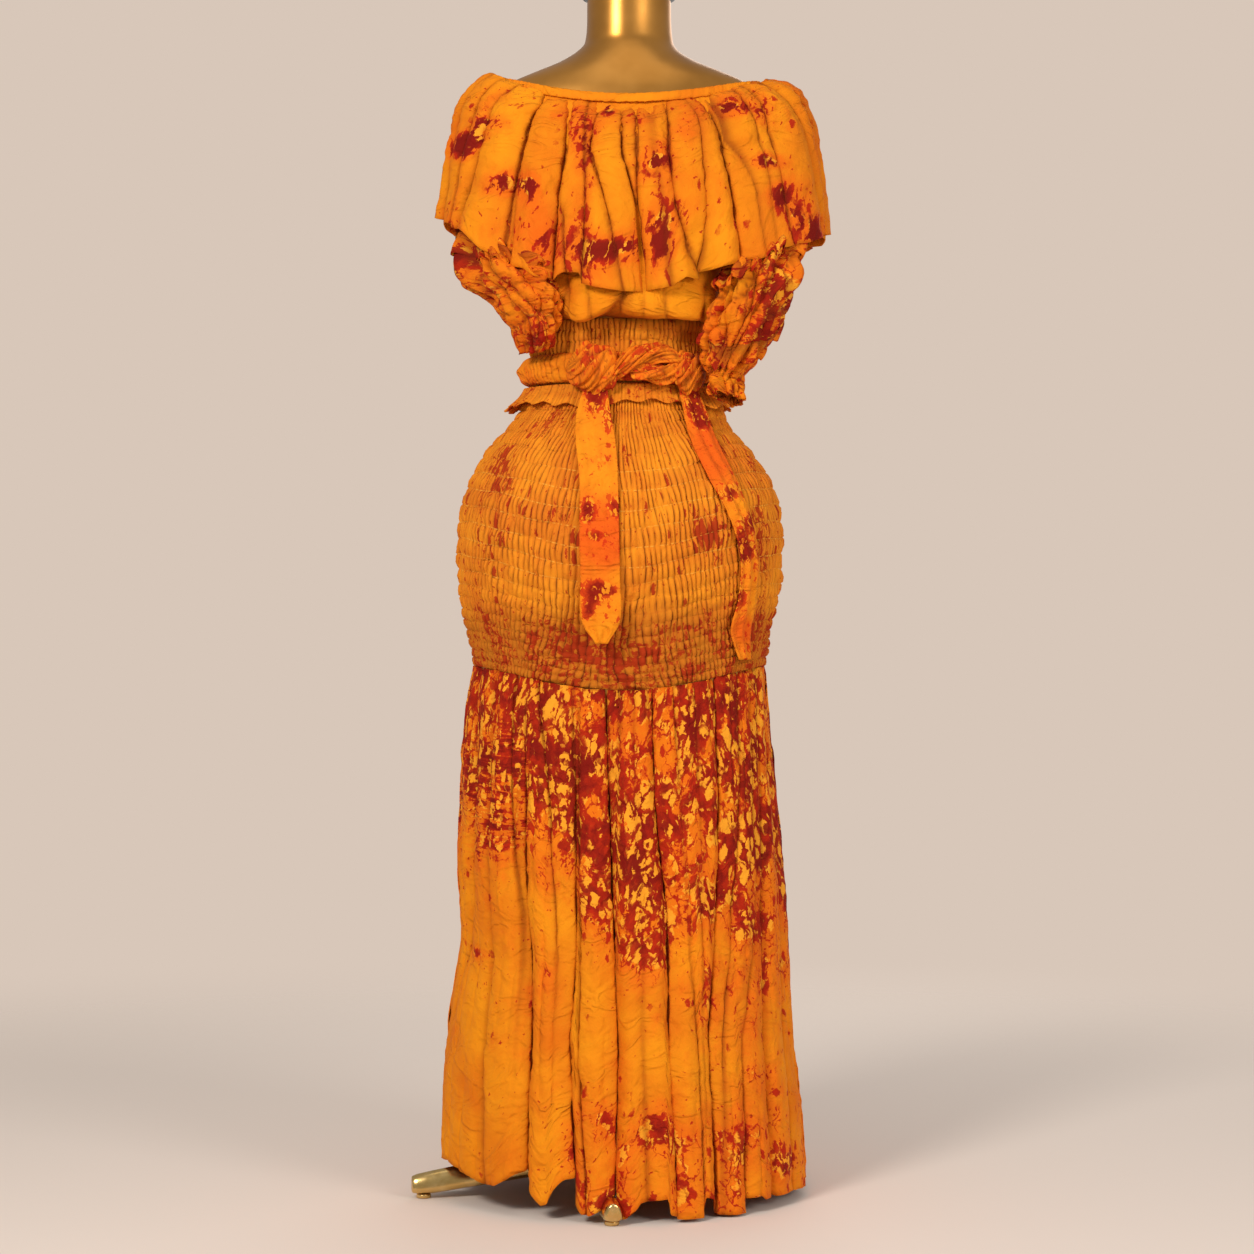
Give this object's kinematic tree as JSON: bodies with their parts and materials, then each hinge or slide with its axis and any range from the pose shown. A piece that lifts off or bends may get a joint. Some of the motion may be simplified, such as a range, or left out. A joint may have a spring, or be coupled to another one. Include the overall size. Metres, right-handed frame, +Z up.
{
  "type": "off-shoulder maxi dress on a dress form",
  "caption": "Off-shoulder maxi dress with a deep ruffle, smocked waist and hips, tie belt and gathered skirt, worn on a limbless gold dress form and stand.",
  "frame": {"origin": "on the floor, under the middle of the whole", "axes": "+Z up, +Y the way the wearer faces, so the tied back faces -Y, +X the wearer's right"},
  "size_m": [0.5216, 0.4572, 1.4993],
  "materials": {
    "dyed_cotton": "hand-dyed cotton lawn, matt with a slight sheen",
    "smocked_cotton": "the same cotton gathered on rows of elastic thread",
    "sash_cotton": "the same cotton, redder, gathered and knotted",
    "gold_lacquer": "satin gold lacquer",
    "polished_brass": "polished",
    "dark_cap": "satin"
  },
  "bodies": {
    "root": {"neck_casing": "dyed_cotton", "shoulder_ruffle": "dyed_cotton", "bodice_back": "dyed_cotton", "bodice_front": "dyed_cotton", "sleeve_left": "dyed_cotton", "sleeve_right": "dyed_cotton", "waist_smocking": "smocked_cotton", "waist_frill": "smocked_cotton", "hip_smocking": "smocked_cotton", "skirt_panel": "dyed_cotton", "belt_band": "sash_cotton", "belt_knot_left": "sash_cotton", "belt_roll": "sash_cotton", "belt_knot_right": "sash_cotton", "belt_end_left": "sash_cotton", "belt_end_right": "sash_cotton", "form_torso": "gold_lacquer", "neck_cap": "dark_cap", "stand_flange": "polished_brass", "stand_pole": "polished_brass", "stand_hub": "polished_brass", "stand_leg_1": "polished_brass", "stand_leg_2": "polished_brass", "stand_leg_3": "polished_brass", "stand_leg_4": "polished_brass", "foot_pad_1": "polished_brass", "foot_pad_2": "polished_brass", "foot_pad_3": "polished_brass", "foot_pad_4": "polished_brass"}
  },
  "joints": []
}
